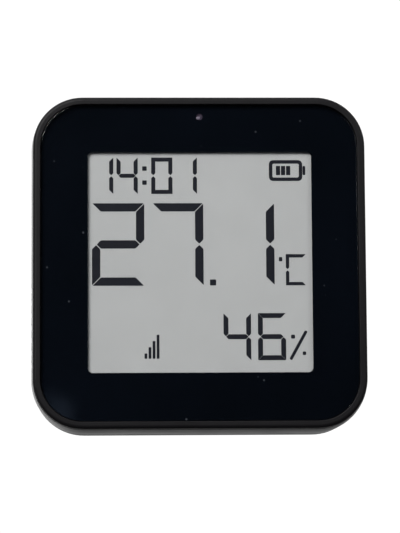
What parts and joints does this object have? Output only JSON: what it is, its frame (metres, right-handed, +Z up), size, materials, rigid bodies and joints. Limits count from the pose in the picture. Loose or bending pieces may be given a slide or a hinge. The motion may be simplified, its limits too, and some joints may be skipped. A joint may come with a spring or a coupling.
{
  "type": "temperature humidity sensor",
  "caption": "Square wall or desk sensor with rounded corners: e-paper display behind a black glass front, side button and power socket, and a clip-off back over its cells.",
  "frame": {"origin": "middle of the base, on the surface that it stands on", "axes": "+Z up, -Y out of the display, +X to the right as seen from the front"},
  "size_m": [0.07, 0.026, 0.07],
  "materials": {
    "shell": "fine moulded grain, black",
    "bezel": "satin black",
    "lens": "clear, polished",
    "print": "black print behind glass",
    "tape": "foam tape",
    "paper": "matte e-paper",
    "backplane": "ground",
    "carrier": "moulded",
    "ribbon": "polyimide",
    "socket": "moulded",
    "board": "solder mask",
    "module": "solder mask",
    "chip": "moulded",
    "light": "clear resin",
    "pipe": "clear, lightly diffusing",
    "steel": "bright plated",
    "sheet": "nickel plated sheet",
    "tray": "moulded",
    "cell": "sleeved can",
    "button": "satin"
  },
  "bodies": {
    "body": {"housing": "shell", "front_bezel": "bezel", "front_lens": "lens", "lens_mask": "print", "lens_tape": "tape", "display_film": "paper", "display_backplane": "backplane", "display_carrier": "carrier", "display_flex": "ribbon", "flex_connector": "socket", "main_board": "board", "radio_module": "module", "radio_shield": "sheet", "humidity_sensor": "chip", "status_led": "light", "light_pipe": "pipe", "usb_shell": "steel", "usb_tongue": "chip", "side_switch": "chip", "board_chips": "chip", "board_screws": "steel", "battery_tray": "tray", "tray_screws": "steel", "cell_1": "cell", "cell_2": "cell", "cell_3": "cell", "cell_4": "cell", "contact_positive": "sheet", "contact_negative": "sheet", "link_top": "sheet", "link_left": "sheet", "link_right": "sheet", "contact_springs": "steel"},
    "button": {"setup_button": "button", "switch_plunger": "socket"},
    "cover": {"back_cover": "shell"}
  },
  "joints": [
    {"name": "button_press", "type": "slide", "parent": "body", "child": "button", "axis": [-1, 0, 0], "range_m": [0, 0.0005], "stiffness_N_per_m": 2500, "springref_m": -0.0002},
    {"name": "cover_release", "type": "slide", "parent": "body", "child": "cover", "axis": [0, 1, 0], "range_m": [0, 0.035]}
  ]
}
